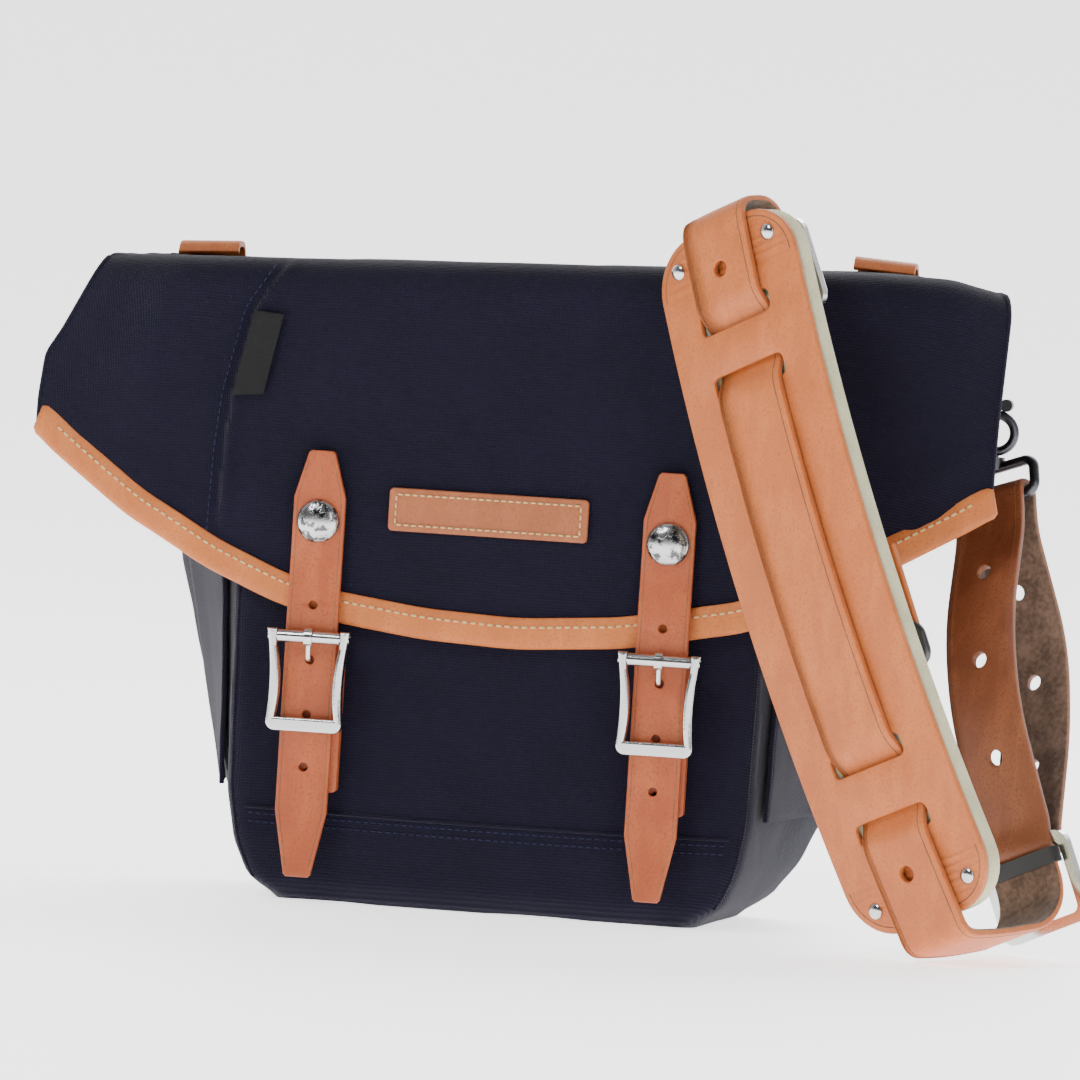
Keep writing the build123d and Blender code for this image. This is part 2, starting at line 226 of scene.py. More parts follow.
def canvas(name, dark, light):
    """Tightly woven canvas: a rib each 0.8 mm crossed by finer picks, with slubs and a slow unevenness."""
    make = Maker(name, dark, 0.92, Sheen_Weight=0.12, Sheen_Roughness=0.5, Specular_IOR_Level=0.16)
    warp = make.bands(0.0008, WARP)
    weft = make.bands(0.0011, WEFT)
    weave = make.math("MULTIPLY", warp, weft)
    slubs = make.noise(0.0016, 2, (0.5, 0.5, 2.2))
    cloud = make.noise(0.035, 4)
    shade = make.math("ADD", make.math("MULTIPLY", weave, 0.45), make.math("MULTIPLY", slubs, 0.55))
    shade = make.math("ADD", shade, make.math("MULTIPLY", cloud, 0.35))
    make.colour(make.mix_colour(make.ramp(shade, 0.3, 0.95), dark, light))
    make.roughness(slubs, 0.85, 0.98)
    make.bump((weave, 0.00022), (slubs, 0.00018))
    return make.material


def leather_material(name, base, dark, light, gloss=0.5, grain=0.00045):
    """Vegetable-tanned leather: fine pores, soft mottling, and paler rubbed patches."""
    make = Maker(name, base, gloss, Coat_Weight=0.06, Coat_Roughness=0.4, Specular_IOR_Level=0.42)
    pores = make.cells(grain)
    fine = make.noise(0.0009, 5)
    mottle = make.noise(0.016, 5)
    streak = make.noise(0.006, 3, (1, 1, 0.25))
    tone = make.mix_colour(make.ramp(mottle, 0.35, 0.68), dark, base)
    tone = make.mix_colour(make.ramp(streak, 0.45, 0.8), tone, light)
    speck = make.ramp(fine, 0.3, 0.5)
    make.colour(make.mix_colour(speck, tuple(0.86 * c for c in dark), tone))
    make.roughness(mottle, gloss - 0.07, gloss + 0.12)
    make.bump((pores, 0.00005), (fine, 0.00006), (mottle, 0.0002))
    return make.material


def suede_material(name, base, dark):
    make = Maker(name, base, 0.9, Sheen_Weight=0.3, Specular_IOR_Level=0.2)
    nap = make.noise(0.0019, 6)
    patch = make.noise(0.009, 4)
    make.colour(make.mix_colour(make.ramp(make.math("ADD", nap, patch), 0.8, 1.25), dark, base))
    make.roughness(nap, 0.8, 1.0)
    make.bump((nap, 0.00035))
    return make.material


def metal_material(name, colour, roughness, dents=0.0):
    """Polished metal, faintly smeared and scratched, or beaten into dents about that size whose dark colour is
    painted shade.
    """
    make = Maker(name, colour, roughness, Metallic=1.0)
    smear = make.noise(dents or 0.004, 4)
    scratch = make.noise(0.0006, 3, (1, 1, 6))
    make.roughness(smear, roughness * 0.7, roughness * 1.6)
    # With dents, the dark patches are painted shade of their relief; without dents, a faint smear of tone.
    smear_and_dent_shade = make.ramp(smear, 0.40, 0.50) if dents else smear
    make.colour(make.mix_colour(smear_and_dent_shade, tuple((0.18 if dents else 0.85) * c for c in colour), colour))
    make.bump((smear_and_dent_shade, 0.00007) if dents else (scratch, 0.000012))
    return make.material


def felt_material(name, base, dark):
    make = Maker(name, base, 0.95, Sheen_Weight=0.2, Specular_IOR_Level=0.15)
    fibres = make.noise(0.0009, 6, (1, 1, 2))
    cloud = make.noise(0.012, 3)
    make.colour(make.mix_colour(make.ramp(make.math("ADD", fibres, cloud), 0.8, 1.2), dark, base))
    make.roughness(fibres, 0.88, 1.0)
    make.bump((fibres, 0.0004))
    return make.material


def plain_weave(name, dark, light, period):
    make = Maker(name, dark, 0.8, Specular_IOR_Level=0.3)
    weave = make.math("MULTIPLY", make.bands(period, WARP), make.bands(period, WEFT))
    make.colour(make.mix_colour(weave, dark, light))
    make.roughness(weave, 0.7, 0.9)
    make.bump((weave, 0.0002))
    return make.material


def moulded_material(name, colour):
    make = Maker(name, colour, 0.5)
    grain = make.noise(0.0008, 4)
    make.colour(make.mix_colour(grain, colour, tuple(1.6 * c for c in colour)))
    make.roughness(grain, 0.4, 0.6)
    make.bump((grain, 0.00005))
    return make.material


NAVY = canvas("navy_canvas", (0.0024, 0.0019, 0.0088), (0.0078, 0.0060, 0.0225))
LINING = plain_weave("navy_lining", (0.006, 0.008, 0.022), (0.016, 0.02, 0.045), 0.0007)
TRIM = leather_material(
    "trim_leather", base=(0.57, 0.160, 0.032), dark=(0.50, 0.134, 0.026),
    light=(0.61, 0.186, 0.042), gloss=0.6)
STRAP = leather_material(
    "strap_leather", base=(0.42, 0.090, 0.024), dark=(0.36, 0.070, 0.018),
    light=(0.475, 0.114, 0.033), gloss=0.46)
SHOULDER = leather_material(
    "shoulder_leather", base=(0.56, 0.148, 0.033), dark=(0.49, 0.124, 0.026),
    light=(0.61, 0.176, 0.044), gloss=0.5)
PATCH = leather_material(
    "patch_leather", base=(0.38, 0.115, 0.040), dark=(0.335, 0.096, 0.032),
    light=(0.42, 0.136, 0.051), gloss=0.6)
# Darker copy of the strap leather for the end strap: painted shade, for its strands that lie in shade.
SHADED_END_STRAP = leather_material(
    "end_strap_leather", base=(0.25, 0.075, 0.027), dark=(0.20, 0.055, 0.02),
    light=(0.31, 0.10, 0.038), gloss=0.46)
FLESH = suede_material("leather_flesh_side", (0.215, 0.132, 0.09), (0.10, 0.058, 0.038))
FELT = felt_material("cream_felt", (0.66, 0.62, 0.40), (0.52, 0.48, 0.30))
NICKEL = metal_material("nickel", (0.72, 0.72, 0.72), 0.14)
CREASE = leather_material(
    "leather_crease", base=(0.26, 0.10, 0.04), dark=(0.20, 0.07, 0.025),
    light=(0.32, 0.13, 0.05), gloss=0.6)
HAMMERED = metal_material("hammered_nickel", (0.60, 0.60, 0.61), 0.18, 0.0030)
GUNMETAL = metal_material("gunmetal", (0.10, 0.10, 0.11), 0.32)
BLACK = moulded_material("black_plastic", (0.012, 0.012, 0.013))
TAG_CLOTH = plain_weave("tag_weave", (0.004, 0.004, 0.005), (0.013, 0.013, 0.014), 0.0006)
CREAM_THREAD = plain_weave("cream_thread", (0.66, 0.47, 0.20), (0.88, 0.70, 0.38), 0.0005)
NAVY_THREAD = plain_weave("navy_thread", (0.010, 0.012, 0.045), (0.03, 0.035, 0.09), 0.0005)
FLOOR = moulded_material("floor", (0.88, 0.88, 0.88))
floor_shader = FLOOR.node_tree.nodes["Principled BSDF"]
floor_shader.inputs["Roughness"].default_value = 1.0
floor_shader.inputs["Emission Color"].default_value = (1, 1, 1, 1)
floor_shader.inputs["Emission Strength"].default_value = 1.7


# Mesh helpers. Sizes in them are millimetres, and finish_mesh turns the mesh into metres.
def finish_object(name, mesh, material=None):
    """Smooth-shaded object around a finished mesh."""
    if material:
        mesh.materials.clear()
        mesh.materials.append(material)
    mesh.polygons.foreach_set("use_smooth", [True] * len(mesh.polygons))
    made = bpy.data.objects.new(name, mesh)
    scene.collection.objects.link(made)
    return made


def curve_mesh(name, curve):
    """Mesh of a curve, whose helper object is then removed."""
    helper = bpy.data.objects.new(name + "_curve", curve)
    scene.collection.objects.link(helper)
    bpy.context.view_layer.update()
    mesh = bpy.data.meshes.new_from_object(helper.evaluated_get(bpy.context.evaluated_depsgraph_get()))
    bpy.data.objects.remove(helper)
    return mesh


def finish_mesh(name, verts, faces, material):
    mesh = bpy.data.meshes.new(name)
    mesh.from_pydata([tuple(c * MM for c in v) for v in verts], [], faces)
    work = bmesh.new()
    work.from_mesh(mesh)
    bmesh.ops.recalc_face_normals(work, faces=work.faces)
    work.to_mesh(mesh)
    work.free()
    return finish_object(name, mesh, material)


def place(piece, body, slot, *replaced):
    """Let a finished piece ride on its body, and hide the CAD nodes it replaces."""
    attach(piece, body)
    if replaced:
        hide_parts(*replaced)
    return piece


def surface(rows, closed=False):
    """Faces of a grid of vertices given as rows of points, joined round when closed."""
    count = len(rows[0])
    verts = [p for row in rows for p in row]
    faces = []
    for i in range(len(rows) - 1):
        for j in range(count if closed else count - 1):
            k = (j + 1) % count
            faces.append((i * count + j, i * count + k, (i + 1) * count + k, (i + 1) * count + j))
    return verts, faces


def apply_modifiers(made):
    bpy.context.view_layer.update()
    mesh = bpy.data.meshes.new_from_object(made.evaluated_get(bpy.context.evaluated_depsgraph_get()))
    made.modifiers.clear()
    made.data = mesh
    return made


def thicken(made, thickness, offset=-1.0):
    solid = made.modifiers.new("thick", "SOLIDIFY")
    solid.thickness = thickness * MM
    solid.offset = offset
    return apply_modifiers(made)


def tube(name, points, radius, material, cyclic=False):
    """Round cord through points."""
    curve = bpy.data.curves.new(name, "CURVE")
    curve.dimensions = "3D"
    curve.bevel_depth = radius * MM
    curve.bevel_resolution = 3
    curve.use_fill_caps = True
    spline = curve.splines.new("POLY")
    spline.points.add(len(points) - 1)
    for target, p in zip(spline.points, points):
        target.co = (*(c * MM for c in p), 1)
    spline.use_cyclic_u = cyclic
    return finish_object(name, curve_mesh(name, curve), material)


def lathe(name, profile, origin, axis, material, steps=48):
    """Round piece from (radius, height) pairs about axis through origin."""
    turn = Vector(axis).to_track_quat("Z", "Y")
    rows = []
    for radius, height in profile:
        rows.append([])
        for k in range(steps):
            angle = 2 * math.pi * k / steps
            offset = turn @ Vector((radius * math.cos(angle), radius * math.sin(angle), height))
            rows[-1].append(Vector(origin) + offset)
    verts, faces = surface(rows, closed=True)
    faces.append(tuple(range(steps)))
    faces.append(tuple(range(len(verts) - steps, len(verts))))
    return finish_mesh(name, verts, faces, material)


def joined(name, parts):
    """One object from several of the same material."""
    work = bmesh.new()
    for made in parts:
        work.from_mesh(made.data)
    mesh = bpy.data.meshes.new(name)
    work.to_mesh(mesh)
    work.free()
    material = parts[0].data.materials[0]
    for made in parts:
        bpy.data.objects.remove(made)
    return finish_object(name, mesh, material)


# A stitch from end to end: (share of its length, share of its width, how far it stands out)
THREAD_SHAPE = ((0, 0.5, -0.5), (0.2, 1, 0.25), (0.5, 1, 0.5), (0.8, 1, 0.25), (1, 0.5, -0.5))


def stitches(name, points, normal, pitch, width, material, fill=0.72):
    """Row of sewn stitches: a rounded thread each pitch along points, standing out along normal."""
    route = [Vector(p) for p in points]
    lengths = [0.0]
    for a, b in zip(route, route[1:]):
        lengths.append(lengths[-1] + (b - a).length)

    def at(distance):
        k = min(max(int(np.searchsorted(lengths, distance)) - 1, 0), len(route) - 2)
        share = (distance - lengths[k]) / max(lengths[k + 1] - lengths[k], 1e-9)
        return route[k].lerp(route[k + 1], share)

    verts, faces = [], []
    count = max(int(round(lengths[-1] / pitch)), 1)
    step = lengths[-1] / count
    for k in range(count):
        start, end = at(step * (k + 0.5 - fill / 2)), at(step * (k + 0.5 + fill / 2))
        along = (end - start).normalized()
        out = normal(start.lerp(end, 0.5)) if callable(normal) else Vector(normal)
        across = along.cross(out).normalized()
        first = len(verts)
        for share, size, lift in THREAD_SHAPE:
            middle = start.lerp(end, share) + out * lift * width / 2
            for turn in range(6):
                angle = turn * math.pi / 3
                spoke = across * math.cos(angle) + out * math.sin(angle)
                verts.append(middle + spoke * size * width / 2)
        for circle in range(4):
            for turn in range(6):
                a, b = first + circle * 6 + turn, first + circle * 6 + (turn + 1) % 6
                faces.append((a, b, b + 6, a + 6))
        faces.append(tuple(first + k for k in range(6)))
        faces.append(tuple(first + 24 + k for k in range(6)))
    return finish_mesh(name, verts, faces, material)


def strip(name, splines, thickness, edge, mapping, material, step=3.0, back=None):
    """Leather cut from a flat outline with holes, edges rounded, then laid along a mapping (u, v, w) -> point.

    splines are closed outlines in the flat; the first is the outer one. The cut is sliced each step along v. A
    back material goes on the faces at its back.
    """
    curve = bpy.data.curves.new(name, "CURVE")
    curve.dimensions = "2D"
    curve.fill_mode = "BOTH"
    curve.extrude = max(thickness / 2 - edge, 0.01)
    curve.bevel_depth = edge
    curve.bevel_resolution = 2
    curve.offset = -edge
    for index, outline in enumerate(splines):
        spline = curve.splines.new("POLY")
        spline.points.add(len(outline) - 1)
        for target, p in zip(spline.points, outline if index == 0 else outline[::-1]):
            target.co = (*p, 0, 1)
        spline.use_cyclic_u = True
    mesh = curve_mesh(name, curve)
    work = bmesh.new()
    work.from_mesh(mesh)
    bmesh.ops.remove_doubles(work, verts=work.verts, dist=0.001)
    low = min(v.co.y for v in work.verts)
    high = max(v.co.y for v in work.verts)
    for k in range(1, int((high - low) / step) + 1):
        geometry = work.verts[:] + work.edges[:] + work.faces[:]
        bmesh.ops.bisect_plane(work, geom=geometry, plane_co=(0, low + k * step, 0), plane_no=(0, 1, 0))
    for face in work.faces:
        face.material_index = int(bool(back) and face.calc_center_median().z < edge - thickness / 2)
    for v in work.verts:
        v.co = Vector(mapping(*v.co)) * MM
    bmesh.ops.recalc_face_normals(work, faces=work.faces)
    mesh.materials.clear()
    mesh.materials.append(material)
    if back:
        mesh.materials.append(back)
    work.to_mesh(mesh)
    work.free()
    return finish_object(name, mesh)


def disc(centre, radius, steps=20):
    points = []
    for k in range(steps):
        angle = 2 * math.pi * k / steps
        points.append((centre[0] + radius * math.cos(angle), centre[1] + radius * math.sin(angle)))
    return points


def rounded(width, height, radius, centre=(0, 0), steps=6):
    """Outline of a rectangle with round corners."""
    points = []
    for corner, (sx, sy) in enumerate(((1, 1), (-1, 1), (-1, -1), (1, -1))):
        for k in range(steps + 1):
            angle = (corner + k / steps) * math.pi / 2
            points.append((
                centre[0] + sx * (width / 2 - radius) + radius * math.cos(angle),
                centre[1] + sy * (height / 2 - radius) + radius * math.sin(angle),
            ))
    return points


def smooth_table(pairs, reach):
    """Smoothed interpolation of (position, value) pairs, rounded over reach."""
    grid = np.arange(pairs[0][0] - 2 * reach, pairs[-1][0] + 2 * reach, 0.5)
    values = np.interp(grid, *zip(*pairs))
    window = np.hanning(int(reach * 2) | 1)
    padded = np.pad(values, len(window) // 2, mode="edge")
    values = np.convolve(padded, window / window.sum(), mode="valid")
    return lambda x: float(np.interp(x, grid, values))


def ripple(point, size, seed):
    """Slow unevenness of cloth, from -1 to 1, whose bumps are about size millimetres."""
    return noise.noise(Vector(point) / size + Vector((seed, 0, 0)))


# Bag body: a canvas shell of rounded four-sided rings that gives a little between its seams.
FRONT = 49
BACK = 48
MOUTH = 236
front_half = smooth_table([(0, 80), (8, 92), (22, 98), (40, 101), (125, 102), (240, 104)], 9)
back_half = smooth_table([(0, 88), (8, 101), (22, 113), (40, 122), (125, 148), (240, 156)], 12)
depth_share = smooth_table([(0, 0.86), (7, 0.955), (24, 1.0), (240, 1.0)], 9)
CORNER_RADII = (9, 9, 10, 10)
CORNER_STEPS = 8
SIDE_STEPS = (64, 30, 64, 30)


def ring(z, inset=0.0):
    """Points round the body at a height, starting at the front left corner, going to the right."""
    front, back, share = front_half(z) - inset, back_half(z) - inset, depth_share(z)
    corners = [
        Vector((-front, -FRONT * share + inset)),
        Vector((front, -FRONT * share + inset)),
        Vector((back, BACK * share - inset)),
        Vector((-back, BACK * share - inset)),
    ]
    cuts = []
    for k, corner in enumerate(corners):
        before, after = corners[k - 1], corners[(k + 1) % 4]
        into, out = (corner - before).normalized(), (after - corner).normalized()
        turn = into.angle(out)
        reach = CORNER_RADII[k] * math.tan(turn / 2)
        cuts.append((corner - into * reach, corner, corner + out * reach))
    points = []
    for k, (start, corner, end) in enumerate(cuts):
        for step in range(CORNER_STEPS):
            t = step / CORNER_STEPS
            points.append(start * (1 - t) ** 2 + corner * 2 * t * (1 - t) + end * t * t)
        target = cuts[(k + 1) % 4][0]
        for step in range(SIDE_STEPS[k]):
            points.append(end.lerp(target, step / SIDE_STEPS[k]))
    return points


def body_point(x, y, z, inset=0.0):
    """Sag and creases of the body at one of its points."""
    side = min(max((abs(x) - 96) / 14, 0), 1)
    low = math.exp(-((z - 8) / 14) ** 2)
    crease = 0.7 * ripple((x, y, z * 0.7), 34, 3) + 0.35 * ripple((x, y, z), 14, 9)
    belly = 2.2 * side * math.sin(math.pi * min(z / 210, 1)) * (1 - abs(y) / 60)
    push = (crease - 0.9) * (1 - 0.5 * low) - belly
    toward = Vector((0.25 * x / 100, y / 50, 0)) if side < 0.5 else Vector((x / 100, 0.2 * y / 50, 0))
    toward = toward.normalized() if toward.length else toward
    wave = 0.5 * (1 - z / 12) * math.sin(x / 13) if z < 12 else 0
    return (x + toward.x * push, y + toward.y * push, max(z + max(wave, 0), 0))


def body_rows(low, high, count, inset=0.0):
    rows = []
    for i in range(count + 1):
        z = low + (high - low) * (i / count)
        rows.append([body_point(p.x, p.y, z) for p in ring(z, inset)])
    return rows


rows = body_rows(0, MOUTH, 90)
base_rows = []
for share in (0.02, 0.25, 0.5, 0.75, 0.93):
    base_rows.append([(p[0] * share, p[1] * share, 0.15 + 0.5 * (1 - share)) for p in rows[0]])
verts, faces = surface(base_rows + rows, closed=True)
faces.append(tuple(range(len(rows[0]))))
body = finish_mesh("body", verts, faces, NAVY)
thicken(body, 2.0)
place(body, "bag", "canvas", "body_shell")

# Binding round the mouth and the yoke on the back.
verts, faces = surface(body_rows(MOUTH - 13, MOUTH + 0.8, 8, 2.4), closed=True)
mouth = finish_mesh("mouth_binding_tape", verts, faces, LINING)
thicken(mouth, 1.1)
place(mouth, "bag", "binding_tape", "mouth_binding")


def on_back(u, v, w):
    return (u, BACK + 0.9 + w + 0.35 * ripple((u, 0, v), 30, 5), v)


yoke = strip("back_yoke_panel", [rounded(272, 34, 5, (0, 216))], 1.5, 0.5, on_back, NAVY, 4)
place(yoke, "bag", "canvas", "back_yoke")

# Ridges where the front and the gussets meet, running up the body's two front corners.
CORNER_OF = {"front_left": CORNER_STEPS // 2, "front_right": CORNER_STEPS + SIDE_STEPS[0] + CORNER_STEPS // 2}
for label, index in CORNER_OF.items():
    points = []
    for z in np.linspace(8, MOUTH - 3, 40):
        p = ring(z)[index]
        points.append(body_point(p.x, p.y, z))
    place(tube(f"seam_{label}", points, 0.75, NAVY), "bag", "canvas")


def front_line(z_line, half, lift):
    """Points across the body's front at a height, standing lift in front of it."""
    points = []
    for k in range(61):
        x = -half + 2 * half * k / 60
        z = z_line + 1.2 * (x / 100) ** 2
        p = body_point(x, -FRONT * depth_share(z), z)
        points.append((p[0], p[1] - lift, p[2]))
    return points


place(tube("seam_bottom", front_line(34, 94, 0.1), 0.7, NAVY), "bag", "canvas")
for label, z in (("upper", 31.6), ("lower", 28.4)):
    row = stitches(f"stitch_bottom_{label}", front_line(z, 93, 0.05), (0, -1, 0), 3.0, 0.55, NAVY_THREAD)
    place(row, "bag", "canvas")

# Gusset pockets: a flat patch on each side whose front edge stands a little proud.
for side, sign in (("left", -1), ("right", 1)):
    start = CORNER_STEPS + SIDE_STEPS[0] + CORNER_STEPS
    rows = []
    for i in range(41):
        z = 42 + 108 * i / 40
        line = []
        for k in range(3, 25):
            p = ring(z, -1.4)[start + k]
            x, y, _ = body_point(p.x, p.y, z)
            line.append((sign * (x + 1.1), y, z))
        rows.append(line)
    verts, faces = surface(rows)
    pocket = finish_mesh(f"gusset_pocket_{side}_cloth", verts, faces, NAVY)
    thicken(pocket, 1.6, 0)
    place(pocket, "bag", "canvas", f"gusset_pocket_{side}")
    edge = [row[0] for row in rows]
    place(tube(f"gusset_pocket_{side}_hem", edge, 1.0, NAVY), "bag", "canvas")


# Flap: one canvas sheet from the rear seam over the top and down to its curved front edge.
FLAP_LEFT = -184
FLAP_RIGHT = 189
FLAP_FRONT = 52.4
SHEET = 1.9
TRIM_WIDTH = 11
FLAT_HALF = 118
MIDDLE = 100
REAR_TAPER = {"left": 6, "right": 36}
trim_height = smooth_table([
    (-186, 187), (-142, 155), (-110, 137), (-84, 126), (-63, 120), (-28, 115.5), (8, 114), (48, 117),
    (93, 126), (148, 153), (190, 177),
], 26)
top_height = smooth_table([(-190, 243.5), (-86, 246), (0, 249.5), (139, 253.5), (168, 253), (192, 248)], 18)
right_limit = smooth_table([(140, 185), (200, 186.3), (240, 188.6), (260, 189)], 8)
left_limit = smooth_table([(150, -184), (186, -184), (203, -182.5), (212, -177), (246, -160), (260, -158)], 9)
tuck_line = smooth_table([
    (125, -110), (150, -109.5), (172, -108.7), (193, -106.8), (226, -99.5), (247, -86),
], 8)


def trim_slope(x):
    return (trim_height(x + 1) - trim_height(x - 1)) / 2


def edge_height(x):
    """Height of the flap's lower edge, under its trim."""
    return trim_height(x) - TRIM_WIDTH * math.hypot(1, trim_slope(x))


def front_y(x):
    """The flap's front before its unevenness: flat in the middle and drawn back at both wings."""
    reach = max(abs(x) - FLAT_HALF, 0) / 66
    return -FLAP_FRONT + 9 * reach ** 2


def flap_profile(x):
    """Points (y, z) of the flap across one x, from the rear seam to the lower edge."""
    top, low, front = top_height(x), edge_height(x), front_y(x)
    sag = 1.5 * math.cos(math.pi * min(abs(x) / 150, 1) / 2)
    corners = [(53.0, 222), (52.6, 240), (50.4, top), (front, top - 0.6), (front, low)]
    cut = [0, 3, 4, 13, 0]
    counts = (6, 5, 44, 120)
    points = []
    for k in range(4):
        a, b = Vector(corners[k]), Vector(corners[k + 1])
        along = (b - a).normalized()
        start, end = a + along * cut[k], b - along * cut[k + 1]
        for step in range(counts[k]):
            t = step / counts[k]
            p = start.lerp(end, t)
            drop = sag * math.sin(math.pi * t) if k == 2 else 0
            points.append((p.x, p.y - drop))
        if k < 3:
            after = (Vector(corners[k + 2]) - b).normalized()
            leave = b + after * cut[k + 1]
            for step in range(10):
                t = step / 10
                p = end * (1 - t) ** 2 + b * 2 * t * (1 - t) + leave * t * t
                points.append((p.x, p.y))
    points.append((front, low))
    return points


def tuck_lift(x, z):
    """How far the flap's front stands out at its tuck: a raised fold with a groove on its left."""
    past = x - tuck_line(z)
    above = min(max((z - trim_height(x) - 2) / 14, 0), 1)
    fold = math.exp(-((past - 1.6) / 2.4) ** 2) if past > -0.4 else 0
    groove = math.exp(-abs(past + 0.4) / 9) if past <= -0.4 else 0
    return (0.7 * math.tanh((past + 0.4) / 0.6) + fold - groove) * above


def cloth_give(x, z):
    """Soft hollows and folds of the flap's front, deeper in its free wings."""
    wing = min(max((abs(x) - 96) / 60, 0), 1)
    slow = (0.7 + 2.0 * wing) * ripple((x, -52, z * 0.8), 46 - 8 * wing, 2)
    return slow + 0.3 * ripple((x, -52, z), 15, 6) + 0.12 * ripple((x, -52, z), 6, 4)


def column_x(x, z, rear=0):
    """Where a column of the flap stands at a height, between its slanted ends. rear is 1 at the rear seam."""
    if x < -MIDDLE:
        room = -MIDDLE - left_limit(z) - REAR_TAPER["left"] * rear
        return -MIDDLE + (x + MIDDLE) * room / (-MIDDLE - FLAP_LEFT)
    if x > MIDDLE:
        room = right_limit(z) - REAR_TAPER["right"] * rear - MIDDLE
        return MIDDLE + (x - MIDDLE) * room / (FLAP_RIGHT - MIDDLE)
    return x


def flap_place(x, y, z):
    """The flap's slanted ends, its tuck and its soft unevenness."""
    x = column_x(x, z, min(max((y + 46) / 96, 0), 1))
    if y < -35:
        return (x, y - tuck_lift(x, z) + cloth_give(x, z), z)
    return (x, y, z + 0.7 * ripple((x, y, z * 0.8), 46, 2) + 0.3 * ripple((x, y, z), 15, 6))


def flap_front_at(x, z):
    """The flap's front face at a point seen from the front."""
    return flap_place(x, front_y(x), z)[1]


COLUMNS = 300
rows = []
for i in range(COLUMNS + 1):
    x = FLAP_LEFT + (FLAP_RIGHT - FLAP_LEFT) * i / COLUMNS
    rows.append([flap_place(x, y, z) for y, z in flap_profile(x)])
verts, faces = surface(rows)
flap = finish_mesh("flap_cloth", verts, faces, NAVY)
front_face = min(flap.data.polygons, key=lambda p: p.center.y)
thicken(flap, SHEET, -1.0 if front_face.normal.y < 0 else 1.0)
flap_ends = {"left": rows[0], "right": rows[-1]}
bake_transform(flap)
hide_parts("flap_panel")


def mid_sheet(x, y, z):
    """Point in the middle of the flap's thickness, below one of its face."""
    return (x, y + SHEET / 2, z) if y < -35 else (x, y, z - SHEET / 2)


for side, line in flap_ends.items():
    hem = tube(f"flap_hem_{side}", [mid_sheet(*p) for p in line], 1.35, NAVY)
    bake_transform(hem)

# Row of stitching that holds the flap's rear strip to the back of the bag.
line = [(x, 53.2, 226.5) for x in np.linspace(-150, 146, 120)]
place(stitches("stitch_rear", line, (0, 1, 0), 3.0, 0.6, NAVY_THREAD), "bag", "canvas")

# Stitching beside the tuck.
line = []
for z in np.linspace(133, 243, 80):
    x = tuck_line(z) - 4.5
    line.append((x, flap_front_at(x, z) - 0.1, z))
place(stitches("stitch_tuck", line, (0, -1, 0), 3.0, 0.6, NAVY_THREAD), "flap", "canvas")

# Leather binding along the flap's lower edge, with one row of cream stitching.
SECTION = [
    (11, 0.15), (11, 0.9), (10.6, 1.35), (7, 1.5), (3, 1.5), (0.6, 1.45), (-0.6, 0.9), (-1.1, -0.2),
    (-1.1, -1.8), (-0.6, -2.9), (0.6, -3.4), (5, -3.4), (9.4, -3.3), (9.8, -2.9), (9.8, -2.1), (5, -1.0),
]


def on_trim(x, up, out):
    """Place on the trim: up from the flap's lower edge at x, square to it, and out from the flap's face."""
    slope = trim_slope(x)
    rise = Vector((-slope, 0, 1)) / math.hypot(1, slope)
    p = Vector((x, 0, edge_height(x))) + rise * up
    return Vector((p.x + column_x(x, p.z) - x, front_y(x) + cloth_give(x, p.z) - out, p.z))


TRIM_STEPS = 260
TRIM_MIDDLE = TRIM_WIDTH / 2
rows = []
for i in range(TRIM_STEPS + 1):
    x = FLAP_LEFT - 2 + (FLAP_RIGHT - FLAP_LEFT + 4) * i / TRIM_STEPS
    from_end = min(i, TRIM_STEPS - i) * (FLAP_RIGHT - FLAP_LEFT) / TRIM_STEPS
    share = math.sqrt(1 - (1 - min(from_end / 2, 1)) ** 2)
    tall, thick = 0.8 + 0.2 * share, 0.75 + 0.25 * share
    rows.append([on_trim(x, TRIM_MIDDLE + (up - TRIM_MIDDLE) * tall, out * thick) for up, out in SECTION])
verts, faces = surface(rows, closed=True)
faces.append(tuple(range(len(SECTION))))
faces.append(tuple(range(len(verts) - len(SECTION), len(verts))))
trim = finish_mesh("flap_binding", verts, faces, TRIM)
place(trim, "flap", "trim_leather", "flap_trim")

line = [on_trim(FLAP_LEFT + 4 + (FLAP_RIGHT - FLAP_LEFT - 8) * k / 240, 7.4, 1.5) for k in range(241)]
place(stitches("stitch_binding", line, (0, -1, 0), 3.3, 1.0, CREAM_THREAD), "flap", "trim_leather")
groove = [p + Vector((0, 0.33, 0)) for p in line]
place(tube("groove_binding", groove, 0.42, STRAP), "flap", "trim_leather")

# Patch with its pressed border and stitching, and the plain woven tag.
PATCH_AT = (-5, 152.4)


def on_patch(u, v, w):
    border = max(abs(u) - 31, abs(v) - 4.2, 0)
    press = 0.35 * math.exp(-((max(abs(u) - 31.6, abs(v) - 4.8)) / 0.8) ** 2) if w > 0 else 0
    dome = -0.2 * min(border / 3, 1)
    x, z = PATCH_AT[0] + u, PATCH_AT[1] + v
    return (x, -FLAP_FRONT - 1.75 - w - dome * (w > 0) + press, z)


patch = strip("leather_patch", [rounded(77, 16.5, 1.8)], 2.2, 0.7, on_patch, PATCH, 0.8)
place(patch, "flap", "patch_leather", "patch")
corners = [Vector((PATCH_AT[0] + sx * 35.6, -FLAP_FRONT - 2.9, PATCH_AT[1] + sz * 5.8))
           for sx, sz in ((-1, 1), (1, 1), (1, -1), (-1, -1), (-1, 1))]
sides = []
for k in range(4):
    sides.append(stitches(f"patch_side_{k}", corners[k:k + 2], (0, -1, 0), 2.9, 0.8, CREAM_THREAD))
place(joined("stitch_patch", sides), "flap", "patch_leather")

TAG = [(-106.8, 191.9), (-94.5, 193.0), (-88.3, 223.9), (-99.9, 224.7)]


